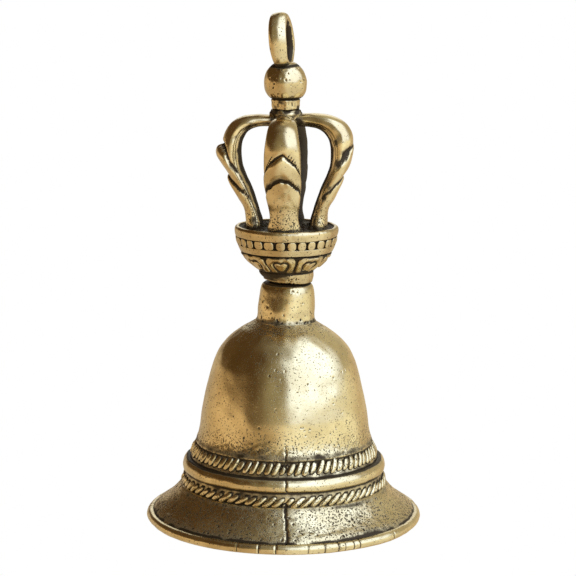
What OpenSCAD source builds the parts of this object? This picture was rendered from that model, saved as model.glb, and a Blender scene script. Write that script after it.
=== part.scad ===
// Small cast brass temple bell with a lotus cup and a four-pronged crown as its handle.
// Millimetres. The origin is the centre of the mouth's plane, and +Z runs up to the loop.

/* [Bell body] */
// Diameter of the mouth over the rim bead
mouth_d = 30; // [29.5:0.1:31]
// Height of the rim bead
rim_h = 1.05; // [0.9:0.05:1.15]
// Height of the dome, up to the root of the neck
dome_h = 22; // [21.8:0.1:23]
// Thickness of the bell's wall
wall = 1.2; // [1:0.05:1.3]

/* [Ornament bands] */
// Height of the lower rope band above the mouth
lower_rope_z = 4; // [3.8:0.1:4.1]
// Height of the lower rope band itself
lower_rope_h = 1.15; // [1:0.05:1.2]
// Height of the plain waist ring above the mouth
waist_z = 5.6; // [5.5:0.1:5.7]
// Height of the waist ring itself
waist_h = 1.3; // [1.1:0.1:1.4]
// Height of the upper rope band above the mouth
upper_rope_z = 7.25; // [7.2:0.05:7.5]
// Height of the upper rope band itself
upper_rope_h = 1.45; // [1.2:0.05:1.5]

/* [Neck] */
// Diameter of the neck
neck_d = 6.1; // [5.8:0.1:6.4]
// Height of the neck
neck_h = 4.3; // [4:0.1:4.6]
// Diameter of the tang that joins the handle to the bell
tang_d = 3.1; // [2.6:0.1:3.6]

/* [Lotus cup] */
// Diameter of the cup over its rim
cup_d = 11.14; // [10.9:0.02:11.5]
// Petals round the cup
petal_count = 8; // [6:1:9]
// Beads round the cup
bead_count = 28; // [24:1:30]

/* [Crown] */
// Diameter over the bulge of the prongs
crown_d = 14.5; // [14:0.1:15]
// Width of a prong where it is widest
prong_w = 4; // [3.6:0.1:4.2]
// Turn of the crown about the bell's axis, in degrees
crown_turn = -4; // [-10:1:10]

/* [Finial and hanging loop] */
// Diameter of the ball under the loop
ball_d = 4.6; // [4.5:0.05:4.8]
// Height of the loop's hole
loop_hole_h = 4; // [3.8:0.1:4.4]
// Width of the loop's hole
loop_hole_w = 3.1; // [2.8:0.1:3.4]
// Thickness of the loop's band
loop_t = 1.05; // [0.9:0.05:1.2]
// Width of the loop's band, along the axis of the hole
loop_w = 1.8; // [1.5:0.1:2]
// Turn of the loop about the bell's axis, in degrees
loop_turn = 78; // [60:1:90]
// Sideways set of the loop on the ball
loop_shift = -0.5; // [-0.6:0.1:0]

/* [Clapper] */
// Diameter of the striker ball
striker_d = 4.6; // [4:0.1:4.8]
// Height of the striker's centre above the mouth
striker_z = 4.9; // [4.5:0.1:5.5]
// Diameter of the link's and the eye's wire
wire_d = 0.7; // [0.6:0.05:0.8]
// Clearance between the loops that hang on one another
loop_gap = 0.1; // [0.08:0.02:0.14]

/* [Hidden] */

$fn = 96;

bright_brass = [0.76, 0.63, 0.37];
worn_brass = [0.66, 0.53, 0.30];
dark_brass = [0.42, 0.33, 0.19];

mouth_r = mouth_d / 2;
skirt_r = mouth_r - 0.55;
rim_foot_r = mouth_r - 1.7;

// Bell wall, outside: each point is a radius and a height, from the rim up to the neck
wall_curve = spline([
    [skirt_r, rim_h], [skirt_r - 1.25, 2], [12.08, 3], [11.38, 4], [11.05, 5.2],
    [10.45, 7.1], [9.68, 8.75], [9.2, 10.5], [8.64, 14], [7.89, 17], [6.95, 19],
    [5.2, dome_h - 1.25], [3.35, dome_h]], 4);
wall_inside = inset(wall_curve, wall);
ceiling_z = wall_inside[len(wall_inside) - 1][1];

// Seats that the three ornament bands lie in
lower_rope_seat_r = 10.68;
waist_seat_r = 10.25;
upper_rope_seat_r = 9.5;

neck_r = neck_d / 2;
neck_top_z = dome_h + neck_h;
tang_z = dome_h + 0.8;
foot_top_z = neck_top_z + 1.4;
cup_r = cup_d / 2;
petal_top_z = foot_top_z + 1.95;
bead_z = petal_top_z + 0.85;
bead_h = 0.85;
cup_rim_z = bead_z + bead_h;
cup_floor_z = cup_rim_z + 0.85;
petal_foot_r = 2.65;
petal_seat_r = 4.35;
bead_seat_r = cup_r - 0.8;
rim_seat_r = cup_r - 0.87;

crown_h = 12.25;
hub_z = cup_floor_z + crown_h;
hub_r = 2;
hub_h = 0.5;
core_r = 0.9;
collar_z = hub_z + hub_h;
collar_h = 1.2;
ball_z = collar_z + collar_h;
ball_r = ball_d / 2;
ball_centre_z = ball_z + 1.6;

loop_top_z = ball_centre_z + ball_r + loop_hole_h + loop_t + 0.15;
loop_bend_r = (loop_hole_w + loop_t) / 2;
loop_straight = loop_hole_h - loop_hole_w;

staple_wire_d = 0.9;
staple_r = 1.3;
link_r = 1.5;
eye_r = 1.2;
staple_z = ceiling_z - 0.8 - staple_r;
link_top_z = staple_z + (staple_wire_d + wire_d) / 2 + loop_gap;
link_z = link_top_z - link_r;
link_low_z = link_z - link_r;
eye_z = link_low_z + wire_d + loop_gap - eye_r;
striker_r = striker_d / 2;
rod_end_z = striker_z + 0.6;
rod_r = 0.6;

// Prong centre line at rest: radius, height above the cup, half thickness, half width
bulge_r = crown_d / 2;
prong_line = spline([
    [bulge_r - 3.75, 0, 0.88, 1.55],
    [bulge_r - 3.6, 1.6, 0.85, 1.6],
    [bulge_r - 2.55, 4, 1.05, prong_w / 2 - 0.15],
    [bulge_r - 1.4, 6.6, 1.2, prong_w / 2],
    [bulge_r - 1.05, 8.8, 1.1, prong_w / 2 - 0.1],
    [bulge_r - 1.75, 10.6, 0.85, 1.6],
    [bulge_r - 3.6, 11.55, 0.7, 1.2],
    [core_r + 0.9, 11.6, 0.65, 0.85],
    [core_r, 11.6, 0.65, 0.85]], 4);

// Smooth curve through the points p, with n steps between each pair
function spline(p, n) = concat([for (i = [0:len(p) - 2], j = [0:n - 1])
    let (t = j / n, a = p[max(i - 1, 0)], b = p[i], c = p[i + 1], d = p[min(i + 2, len(p) - 1)])
    (2 * b + (c - a) * t + (2 * a - 5 * b + 4 * c - d) * t * t
        + (3 * b - a - 3 * c + d) * t * t * t) / 2], [p[len(p) - 1]]);

// Unit vector along a curve at its point i
function heading(p, i) = let (
    a = p[max(i - 1, 0)], b = p[min(i + 1, len(p) - 1)],
    v = [b[0] - a[0], b[1] - a[1]]) v / norm(v);

// The curve p moved sideways by d, to the inside of the bell
function inset(p, d) = [for (i = [0:len(p) - 1])
    let (h = heading(p, i)) [p[i][0] - d * h[1], p[i][1] + d * h[0]]];

function reverse(p) = [for (i = [len(p) - 1:-1:0]) p[i]];

// Points of an arc round [x, y], from angle a to angle b
function arc(x, y, rx, ry, a, b, n = 10) = [for (i = [0:n])
    let (t = a + (b - a) * i / n) [x + rx * cos(t), y + ry * sin(t)]];

// Ring with a flat inner face and a rounded outer face that leans in towards the top
module half_round_ring(seat_r, outer_r, z, h, lean) {
    edge = 0.15;
    bulge = outer_r - seat_r - edge - 0.7 * lean;
    rotate_extrude() polygon(concat(
        [[seat_r, z + h], [seat_r, z]],
        [for (p = arc(0, 0, bulge, h / 2, -90, 90, 8))
            [seat_r + edge + p[0] + lean * (0.5 - p[1] / h), z + h / 2 + p[1]]]));
}

module ring_cut(inner_r, z, h) {
    rotate_extrude() translate([inner_r, z]) square([3, h]);
}

module bell_dome() {
    color(bright_brass) difference() {
        rotate_extrude() polygon(concat(
            wall_curve, [[0, dome_h], [0, ceiling_z]], reverse(wall_inside)));
        translate([0, 0, rim_h - 2]) cylinder(h = 2, r = mouth_r + 1);
        ring_cut(lower_rope_seat_r, lower_rope_z, lower_rope_h);
        ring_cut(waist_seat_r, waist_z, waist_h);
        ring_cut(upper_rope_seat_r, upper_rope_z, upper_rope_h);
    }
}

module rim_bead() {
    color(bright_brass) rotate_extrude() polygon(concat(
        [[rim_foot_r - 0.55, rim_h], [rim_foot_r, 0]],
        arc(mouth_r - rim_h / 2, rim_h / 2, rim_h / 2, rim_h / 2, -90, 90)));
}

module lower_rope_band() {
    color(worn_brass) half_round_ring(lower_rope_seat_r, 11.38, lower_rope_z, lower_rope_h, 0.1);
}

module waist_ring() {
    color(bright_brass) half_round_ring(waist_seat_r, 11.06, waist_z, waist_h, 0.1);
}

module upper_rope_band() {
    color(worn_brass) half_round_ring(upper_rope_seat_r, 10.42, upper_rope_z, upper_rope_h, 0.45);
}

module neck_socket() {
    corner = 0.45;
    color(worn_brass) rotate_extrude() polygon(concat(
        [[0, tang_z], [0, dome_h], [neck_r + 0.12, dome_h], [neck_r - 0.05, dome_h + 0.5]],
        arc(neck_r - corner, neck_top_z - corner, corner, corner, 0, 90, 5),
        [[tang_d / 2, neck_top_z], [tang_d / 2, tang_z]]));
}

module handle_tang() {
    color(dark_brass) translate([0, 0, tang_z])
        cylinder(h = foot_top_z + 0.9 - tang_z, d = tang_d);
}

module lotus_foot() {
    color(worn_brass) rotate_extrude() polygon(concat(
        [[tang_d / 2, foot_top_z], [tang_d / 2, neck_top_z], [2.5, neck_top_z]],
        arc(2.4, neck_top_z + 0.65, 0.5, 0.45, -60, 60, 6),
        [[2.6, foot_top_z - 0.25], [petal_foot_r, foot_top_z]]));
}

module lotus_cup() {
    color(worn_brass) difference() {
        rotate_extrude() polygon([
            [0, foot_top_z], [petal_foot_r, foot_top_z], [petal_seat_r, petal_top_z],
            [cup_r - 0.72, petal_top_z], [cup_r - 0.35, bead_z], [bead_seat_r, bead_z],
            [bead_seat_r, cup_rim_z], [rim_seat_r, cup_rim_z], [rim_seat_r, cup_floor_z],
            [0, cup_floor_z]]);
        translate([0, 0, foot_top_z - 1]) cylinder(h = 1.9, d = tang_d);
    }
}

// The petals stand side by side on the cup's cone, with a narrow groove between them
module lotus_petals() {
    pitch = 360 / petal_count;
    gap = 5;
    color(bright_brass) for (i = [0:petal_count - 1])
        rotate(-98.5 + i * pitch - (pitch - gap) / 2) rotate_extrude(angle = pitch - gap)
            polygon([
                [petal_foot_r, foot_top_z], [3.2, foot_top_z + 0.05], [4, foot_top_z + 0.7],
                [4.62, foot_top_z + 1.35], [4.8, petal_top_z - 0.2], [4.75, petal_top_z],
                [petal_seat_r, petal_top_z]]);
}

// Squarish beads side by side in their groove, with a narrow gap between them
module bead_row() {
    pitch = 360 / bead_count;
    gap = 2.5;
    color(bright_brass) for (i = [0:bead_count - 1])
        rotate(i * pitch) rotate_extrude(angle = pitch - gap) polygon([
            [bead_seat_r, bead_z], [cup_r - 0.25, bead_z + 0.1], [cup_r - 0.05, bead_z + 0.4],
            [cup_r - 0.1, bead_z + 0.75], [cup_r - 0.2, cup_rim_z], [bead_seat_r, cup_rim_z]]);
}

module cup_rim() {
    color(bright_brass) rotate_extrude() polygon(concat(
        [[rim_seat_r, cup_rim_z + 1], [rim_seat_r, cup_rim_z]],
        arc(cup_r - 0.3, cup_rim_z + 0.52, 0.3, 0.52, -80, 90, 8)));
}

// Outline across a prong: flat towards the bell's axis and rounded outside
function prong_section(s, h) = [for (a = [20:35:340])
    let (x = cos(a), y = sin(a), out = (x > 0 ? 1 : 0.75) * s[2] * x)
    [s[0] + out * h[1], s[3] * y, s[1] - out * h[0]]];

module prong() {
    rings = [for (i = [0:len(prong_line) - 1]) prong_section(prong_line[i], prong_heading(i))];
    m = len(rings[0]);
    last = len(rings) - 1;
    translate([0, 0, cup_floor_z]) polyhedron(
        points = [for (ring = rings, p = ring) p],
        faces = concat(
            [[for (k = [m - 1:-1:0]) k]], [[for (k = [0:m - 1]) last * m + k]],
            [for (i = [0:last - 1], k = [0:m - 1]) let (n = (k + 1) % m)
                [i * m + k, i * m + n, (i + 1) * m + n]],
            [for (i = [0:last - 1], k = [0:m - 1]) let (n = (k + 1) % m)
                [i * m + k, (i + 1) * m + n, (i + 1) * m + k]]));
}

// A prong starts straight up from the cup and ends level, against the hub's core
function prong_heading(i) =
    i == 0 ? [0, 1] : i == len(prong_line) - 1 ? [-1, 0] : heading(prong_line, i);

module prong_front() { color(bright_brass) rotate(-90 + crown_turn) prong(); }
module prong_back() { color(bright_brass) rotate(90 + crown_turn) prong(); }
module prong_left() { color(bright_brass) rotate(180 + crown_turn) prong(); }
module prong_right() { color(bright_brass) rotate(crown_turn) prong(); }

// The prongs' ends meet the core of the hub
module crown_hub() {
    color(dark_brass) translate([0, 0, hub_z - 1.35]) {
        rotate(crown_turn) translate([-core_r, -core_r, 0]) cube([2 * core_r, 2 * core_r, 1.35]);
        translate([0, 0, 1.35]) cylinder(h = hub_h, r = hub_r);
    }
}

module finial_collar() {
    color(worn_brass) rotate_extrude() polygon([
        [0, collar_z], [1.3, collar_z], [1.48, collar_z + 0.15], [1.5, collar_z + 0.6],
        [1.62, collar_z + 0.95], [1.5, ball_z], [0, ball_z]]);
}

module ball_solid() {
    intersection() {
        translate([0, 0, ball_centre_z]) sphere(r = ball_r);
        translate([0, 0, ball_z]) cylinder(h = 3 * ball_r, r = 2 * ball_r);
    }
}

module finial_ball() { color(bright_brass) ball_solid(); }

// Cross-section of the loop's band, rounded at both edges
module loop_section() {
    side = (loop_w - loop_t) / 2;
    translate([loop_bend_r - loop_t / 2, -side]) square([loop_t, 2 * side]);
    for (s = [-1, 1]) translate([loop_bend_r, s * side]) circle(d = loop_t, $fn = 32);
}

module hanging_loop() {
    bend_z = loop_top_z - loop_t / 2 - loop_bend_r;
    color(bright_brass) difference() {
        translate([loop_shift, 0, bend_z]) rotate(loop_turn) rotate([90, 0, 0]) {
            rotate_extrude(angle = 180) loop_section();
            translate([0, -loop_straight, 0]) rotate(180)
                rotate_extrude(angle = 180) loop_section();
            for (s = [0, 180]) rotate([0, s, 0]) rotate([90, 0, 0])
                linear_extrude(loop_straight) loop_section();
        }
        ball_solid();
    }
}

// Wire loop round [0, 0, z], with its opening along X
module wire_ring(r, z, d) {
    translate([0, 0, z]) rotate([0, 90, 0]) rotate_extrude() translate([r, 0])
        circle(d = d, $fn = 32);
}

module clapper_staple() {
    color(dark_brass) {
        translate([0, 0, staple_z + staple_r]) rotate([0, 90, 0]) rotate(-90)
            rotate_extrude(angle = 180) translate([staple_r, 0])
                circle(d = staple_wire_d, $fn = 32);
        for (s = [-1, 1]) translate([0, s * staple_r, staple_z + staple_r])
            cylinder(h = ceiling_z - staple_z - staple_r, d = staple_wire_d, $fn = 32);
    }
}

module clapper_link() {
    color(worn_brass) rotate(90) wire_ring(link_r, link_z, wire_d);
}

module clapper_rod() {
    neck_z = eye_z - eye_r;
    color(worn_brass) {
        wire_ring(eye_r, eye_z, wire_d);
        translate([0, 0, rod_end_z]) cylinder(h = neck_z - rod_end_z, r1 = rod_r, r2 = 0.45);
    }
}

module clapper_ball() {
    tip_r = 0.55;
    color(bright_brass) difference() {
        union() {
            translate([0, 0, striker_z]) sphere(r = striker_r);
            translate([0, 0, striker_z - striker_r - 0.35]) cylinder(h = 0.6, r = tip_r);
        }
        translate([0, 0, rod_end_z]) cylinder(h = striker_z + striker_r + 1 - rod_end_z, r = rod_r);
    }
}

bell_dome();
rim_bead();
lower_rope_band();
waist_ring();
upper_rope_band();
neck_socket();
handle_tang();
lotus_foot();
lotus_cup();
lotus_petals();
bead_row();
cup_rim();
prong_front();
prong_back();
prong_left();
prong_right();
crown_hub();
finial_collar();
finial_ball();
hanging_loop();
clapper_staple();
clapper_link();
clapper_rod();
clapper_ball();
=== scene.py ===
"""Looks of the small cast brass temple bell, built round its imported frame.

Shapes are worked out in millimetres with +Z up the bell's axis, as in the CAD source, and
every mesh is scaled to metres when it is made. Angles round the axis start at +X.
"""
from math import cos, pi, radians, sin, sqrt

import bpy
import numpy as np
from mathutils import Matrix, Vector


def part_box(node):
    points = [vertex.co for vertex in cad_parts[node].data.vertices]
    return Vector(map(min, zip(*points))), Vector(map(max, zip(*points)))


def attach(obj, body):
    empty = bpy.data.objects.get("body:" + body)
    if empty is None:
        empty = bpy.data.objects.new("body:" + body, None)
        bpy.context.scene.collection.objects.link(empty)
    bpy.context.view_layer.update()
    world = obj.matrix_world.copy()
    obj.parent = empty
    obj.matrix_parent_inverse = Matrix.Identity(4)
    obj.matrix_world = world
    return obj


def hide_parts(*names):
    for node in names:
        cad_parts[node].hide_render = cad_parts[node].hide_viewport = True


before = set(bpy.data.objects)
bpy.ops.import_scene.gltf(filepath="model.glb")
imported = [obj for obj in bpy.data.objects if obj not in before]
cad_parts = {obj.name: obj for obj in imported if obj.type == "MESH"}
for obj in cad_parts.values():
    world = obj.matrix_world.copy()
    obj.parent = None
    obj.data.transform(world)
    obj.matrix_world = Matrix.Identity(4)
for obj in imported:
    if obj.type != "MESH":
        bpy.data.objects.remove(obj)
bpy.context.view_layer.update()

MM = 0.001
FRONT = radians(-90)

# Sizes read from the frame, so that they follow the CAD


def low(node):
    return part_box(node)[0][2] / MM


def high(node):
    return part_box(node)[1][2] / MM


MOUTH_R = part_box("rim_bead")[1][0] / MM
RIM_TOP = high("rim_bead")
NECK_LOW = low("neck_socket")
NECK_TOP = high("neck_socket")
CUP_FLOOR = high("lotus_cup")
COLLAR_LOW = low("finial_collar")
COLLAR_TOP = high("finial_collar")
CROWN_TURN = radians(-4)

# ---- numbers and curves


def spline(points, steps):
    """Smooth curve through the points, with a number of steps between each pair."""
    p = np.array(points, float)
    last = len(p) - 1
    out = []
    for i in range(last):
        a, b, c, d = p[max(i - 1, 0)], p[i], p[i + 1], p[min(i + 2, last)]
        for t in np.arange(steps) / steps:
            out.append((2 * b + (c - a) * t + (2 * a - 5 * b + 4 * c - d) * t * t
                        + (3 * b - a - 3 * c + d) * t ** 3) / 2)
    out.append(p[-1])
    return np.array(out)


def run_of(p):
    """Distance from a polyline's first point to each of its points."""
    return np.concatenate([[0], np.cumsum(np.linalg.norm(np.diff(p, axis=0), axis=1))])


def circle(count):
    """Angles of points spaced evenly round a circle."""
    return np.linspace(0, 2 * pi, count, endpoint=False)


def unit(v):
    """Vectors at length 1."""
    return v / np.maximum(np.linalg.norm(v, axis=-1, keepdims=True), 1e-12)


def even(points, spacing):
    """The polyline resampled at about an even spacing, keeping its ends."""
    p = np.array(points, float)
    s = run_of(p)
    n = max(2, int(round(s[-1] / spacing)) + 1)
    at = np.linspace(0, s[-1], n)
    return np.stack([np.interp(at, s, p[:, k]) for k in range(p.shape[1])], axis=1)


def bump(x, width):
    """Bell-shaped curve, 1 at 0."""
    return np.exp(-(x / width) ** 2)


def step(x, low_edge, high_edge):
    """Smooth step from 0 at low_edge to 1 at high_edge."""
    t = np.clip((x - low_edge) / (high_edge - low_edge), 0, 1)
    return t * t * (3 - 2 * t)


def wrap(angle):
    """Angle folded into -pi..pi."""
    return (angle + pi) % (2 * pi) - pi


def waves(theta, s, seed, count=24, turns=9, length=6.0):
    """Slow unevenness of a hand-finished casting, about -1..1, periodic in theta.

    theta and s may be a row and a column, or two grids of one shape."""
    rng = np.random.default_rng(seed)
    k = rng.integers(0, turns + 1, count)
    f = rng.uniform(-1, 1, count) * 2 * pi / length
    start = rng.uniform(0, 2 * pi, count)
    if theta.shape[0] == 1 and s.shape[1] == 1:
        rows = s * f + start
        cols = theta.T * k
        total = np.cos(rows) @ np.cos(cols).T - np.sin(rows) @ np.sin(cols).T
    else:
        total = sum(np.cos(k[i] * theta + f[i] * s + start[i]) for i in range(count))
    return total / sqrt(count)


def pocks(theta, r, z, marks):
    """Depth of small round hollows, each an angle, a height and a radius."""
    total = np.zeros(np.broadcast(theta, z).shape)
    for a, zc, size in marks:
        rows = np.flatnonzero(np.abs(z[:, 0] - zc) < 2 * size)
        if len(rows) == 0:
            continue
        reach = 2 * size / max(float(r[rows, 0].min()), 0.3)
        cols = np.flatnonzero(np.abs(wrap(theta[0] - a)) < reach)
        spot = np.ix_(rows, cols)
        across = wrap(theta[0, cols] - a)[None] * r[rows, :1]
        total[spot] += 0.38 * size * bump(np.hypot(across, z[rows, :1] - zc), 0.6 * size)
    return total


def near_polyline(x, y, points):
    """Distance from every (x, y) to a polyline."""
    best = np.full(x.shape, 1e9)
    for (ax, ay), (bx, by) in zip(points[:-1], points[1:]):
        dx, dy = bx - ax, by - ay
        t = np.clip(((x - ax) * dx + (y - ay) * dy) / (dx * dx + dy * dy), 0, 1)
        best = np.minimum(best, np.hypot(x - ax - t * dx, y - ay - t * dy))
    return best


# ---- meshes from grids


def blur(a, count, closed):
    """Soft average over neighbours, periodic along columns and maybe along rows."""
    for _ in range(count):
        a = (np.roll(a, 1, 1) + 2 * a + np.roll(a, -1, 1)) / 4
        up, down = np.roll(a, 1, 0), np.roll(a, -1, 0)
        if not closed:
            up[0], down[-1] = a[0], a[-1]
        a = (up + 2 * a + down) / 4
    return a


def grid_normals(p, closed):
    du = np.roll(p, -1, 1) - np.roll(p, 1, 1)
    up, down = np.roll(p, -1, 0), np.roll(p, 1, 0)
    if not closed:
        up[-1], down[0] = p[-1], p[0]
    return unit(np.cross(du, up - down))


def polar(p):
    """Angle, radius and height of every point of a grid."""
    return np.arctan2(p[..., 1], p[..., 0]), np.hypot(p[..., 0], p[..., 1]), p[..., 2]


def hollows(p, closed):
    """How far each point lies in a hollow, in millimetres, at a fine and a broad scale."""
    n = grid_normals(p, closed)
    fine = ((blur(p, 4, closed) - p) * n).sum(2)
    broad = ((blur(p, 24, closed) - p) * n).sum(2)
    return fine, broad


def settle(points):
    """The handle is set a hair off the bell's axis, and bends back towards its loop."""
    out = points.copy()
    z = out[:, 2]
    aside = 0.13 - 0.0004 * (z - 24) ** 2
    out[:, 0] += aside * step(z, 21.0, 22.6)
    return out


def add_object(name, data):
    thing = bpy.data.objects.new(name, data)
    bpy.context.scene.collection.objects.link(thing)
    return thing


def grid_mesh(name, p, body, slot, nodes, dark, closed=False, pits=0.35):
    """Closed mesh from a grid of points: columns run round, rows run along.

    Without closed, the first and last rows close on a point at their middle. dark and
    pits say how much patina and painted shade and how many pits each point has."""
    rows, cols = p.shape[:2]
    idx = np.arange(rows * cols).reshape(rows, cols)
    nxt = np.roll(idx, -1, 1)
    pts, fans = settle(p.reshape(-1, 3)), np.zeros((0, 3), int)
    marks = {key: np.clip(np.broadcast_to(v, (rows, cols)).ravel(), 0, 1)
             for key, v in (("patina_and_shade_level", dark), ("pitting", pits))}
    if closed:
        a, b, an, bn = idx, np.roll(idx, -1, 0), nxt, np.roll(nxt, -1, 0)
    else:
        a, b, an, bn = idx[:-1], idx[1:], nxt[:-1], nxt[1:]
        first, last = rows * cols, rows * cols + 1
        pts = np.concatenate([pts, [p[0].mean(0), p[-1].mean(0)]])
        marks = {key: np.concatenate([v, [v[:cols].mean(), v[-cols:].mean()]])
                 for key, v in marks.items()}
        fans = np.concatenate([
            np.stack([nxt[0], idx[0], np.full(cols, first)], axis=1),
            np.stack([idx[-1], nxt[-1], np.full(cols, last)], axis=1)])
    quads = np.stack([a, an, bn, b], axis=-1).reshape(-1, 4)
    corners = np.concatenate([quads[:, [0, 1, 2]], quads[:, [0, 2, 3]], fans])
    t = pts[corners]
    if np.einsum("ij,ij->", t[:, 0], np.cross(t[:, 1], t[:, 2])) < 0:
        quads, fans = quads[:, ::-1], fans[:, ::-1]
    mesh = bpy.data.meshes.new(name)
    mesh.vertices.add(len(pts))
    mesh.vertices.foreach_set("co", (pts * MM).astype(np.float32).ravel())
    mesh.loops.add(quads.size + fans.size)
    mesh.loops.foreach_set("vertex_index", np.concatenate([quads.ravel(), fans.ravel()]))
    mesh.polygons.add(len(quads) + len(fans))
    starts = np.concatenate([4 * np.arange(len(quads)), quads.size + 3 * np.arange(len(fans))])
    mesh.polygons.foreach_set("loop_start", starts)
    mesh.update(calc_edges=True)
    mesh.polygons.foreach_set("use_smooth", np.ones(len(mesh.polygons), bool))
    for key, v in marks.items():
        layer = mesh.attributes.new(key, "FLOAT", "POINT")
        layer.data.foreach_set("value", v.astype(np.float32))
    piece = add_object(name, mesh)
    mesh.materials.append(brass(slot))
    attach(piece, body)
    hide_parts(*nodes)
    return piece


def revolve(profile, columns, lift):
    """Grid of a profile (radius, height) turned round the axis.

    lift(theta, s, r, z) gives how far each point moves along the surface's normal."""
    prof = np.array(profile, float)
    theta = circle(columns)
    along = unit(np.gradient(prof, axis=0))
    normal = np.stack([along[:, 1], -along[:, 0]], axis=1)
    s = run_of(prof)
    r, z = prof[:, :1], prof[:, 1:]
    d = lift(theta[None], s[:, None], r, z)
    r = np.maximum(r + d * normal[:, :1], 0.001)
    z = z + d * normal[:, 1:]
    return np.stack([r * np.cos(theta), r * np.sin(theta), z], axis=2)


def spin(profile, spacing, columns, lift):
    """A profile sampled evenly and turned: its grid, and each point's angle, radius, height."""
    p = revolve(even(profile, spacing), columns, lift)
    return p, *polar(p)


# ---- materials

# Linear colours of brass where it is polished by wear, and of the patina in its hollows, also used
# for painted shade
LOOKS = {
    "cast_brass": dict(bright=(0.80, 0.68, 0.40), dull=(0.62, 0.50, 0.27), rough=0.15),
    "rope_brass": dict(bright=(0.84, 0.73, 0.46), dull=(0.62, 0.51, 0.28), rough=0.17),
    "handle_brass": dict(bright=(0.76, 0.62, 0.35), dull=(0.54, 0.42, 0.22), rough=0.18),
    "crown_brass": dict(bright=(0.80, 0.67, 0.39), dull=(0.60, 0.47, 0.25), rough=0.15),
    "inner_brass": dict(bright=(0.30, 0.22, 0.11), dull=(0.15, 0.11, 0.06), rough=0.45),
    "clapper_brass": dict(bright=(0.50, 0.37, 0.18), dull=(0.28, 0.20, 0.10), rough=0.35),
}
PATINA_AND_SHADE = (0.046, 0.031, 0.014)
_made = {}


def node(tree, kind, inputs=None, **settings):
    """Adds a node, sets its properties and links or fills its inputs."""
    n = tree.nodes.new(kind)
    for key, value in settings.items():
        setattr(n, key, value)
    for key, value in (inputs or {}).items():
        socket = n.inputs[key]
        if isinstance(value, bpy.types.NodeSocket):
            tree.links.new(value, socket)
        else:
            socket.default_value = value
    return n


def fresh_tree(owner):
    owner.use_nodes = True
    owner.node_tree.nodes.clear()
    return owner.node_tree


def mix(tree, factor, a, b):
    n = node(tree, "ShaderNodeMix", data_type="RGBA")
    for socket, value in ((n.inputs[0], factor), (n.inputs[6], a), (n.inputs[7], b)):
        if isinstance(value, bpy.types.NodeSocket):
            tree.links.new(value, socket)
        elif isinstance(value, tuple) and len(value) == 3:
            socket.default_value = (*value, 1)
        else:
            socket.default_value = value
    return n.outputs[2]


def calc(tree, operation, a, b=0.0, clamp=False):
    n = node(tree, "ShaderNodeMath", {0: a, 1: b}, operation=operation, use_clamp=clamp)
    return n.outputs[0]


def plus(tree, a, b, clamp=False):
    return calc(tree, "ADD", a, b, clamp)


def minus(tree, a, b, clamp=False):
    return calc(tree, "SUBTRACT", a, b, clamp)


def times(tree, a, b):
    return calc(tree, "MULTIPLY", a, b)


def noise(tree, where, scale, detail=2.0, roughness=0.5, output="Fac"):
    n = node(tree, "ShaderNodeTexNoise", {
        "Vector": where, "Scale": scale, "Detail": detail, "Roughness": roughness})
    return n.outputs[output]


def ramp(tree, value, low_edge, high_edge, low_out=0.0, high_out=1.0):
    n = node(tree, "ShaderNodeMapRange", {
        "Value": value, "From Min": low_edge, "From Max": high_edge,
        "To Min": low_out, "To Max": high_out}, interpolation_type="SMOOTHSTEP")
    return n.outputs[0]


def pit_layer(t, where, scale, crowd, size, soft):
    """Small dots, some cells large and some empty: 1 in a pit, 0 outside it."""
    cells = node(t, "ShaderNodeTexVoronoi", {"Vector": where, "Scale": scale, "Randomness": 1.0})
    chance = node(t, "ShaderNodeSeparateColor", {0: cells.outputs["Color"]}).outputs[0]
    room = minus(t, plus(t, crowd, chance), 1.0)
    radius = times(t, room, size)
    return ramp(t, minus(t, radius, cells.outputs["Distance"]), -soft, soft)


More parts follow.
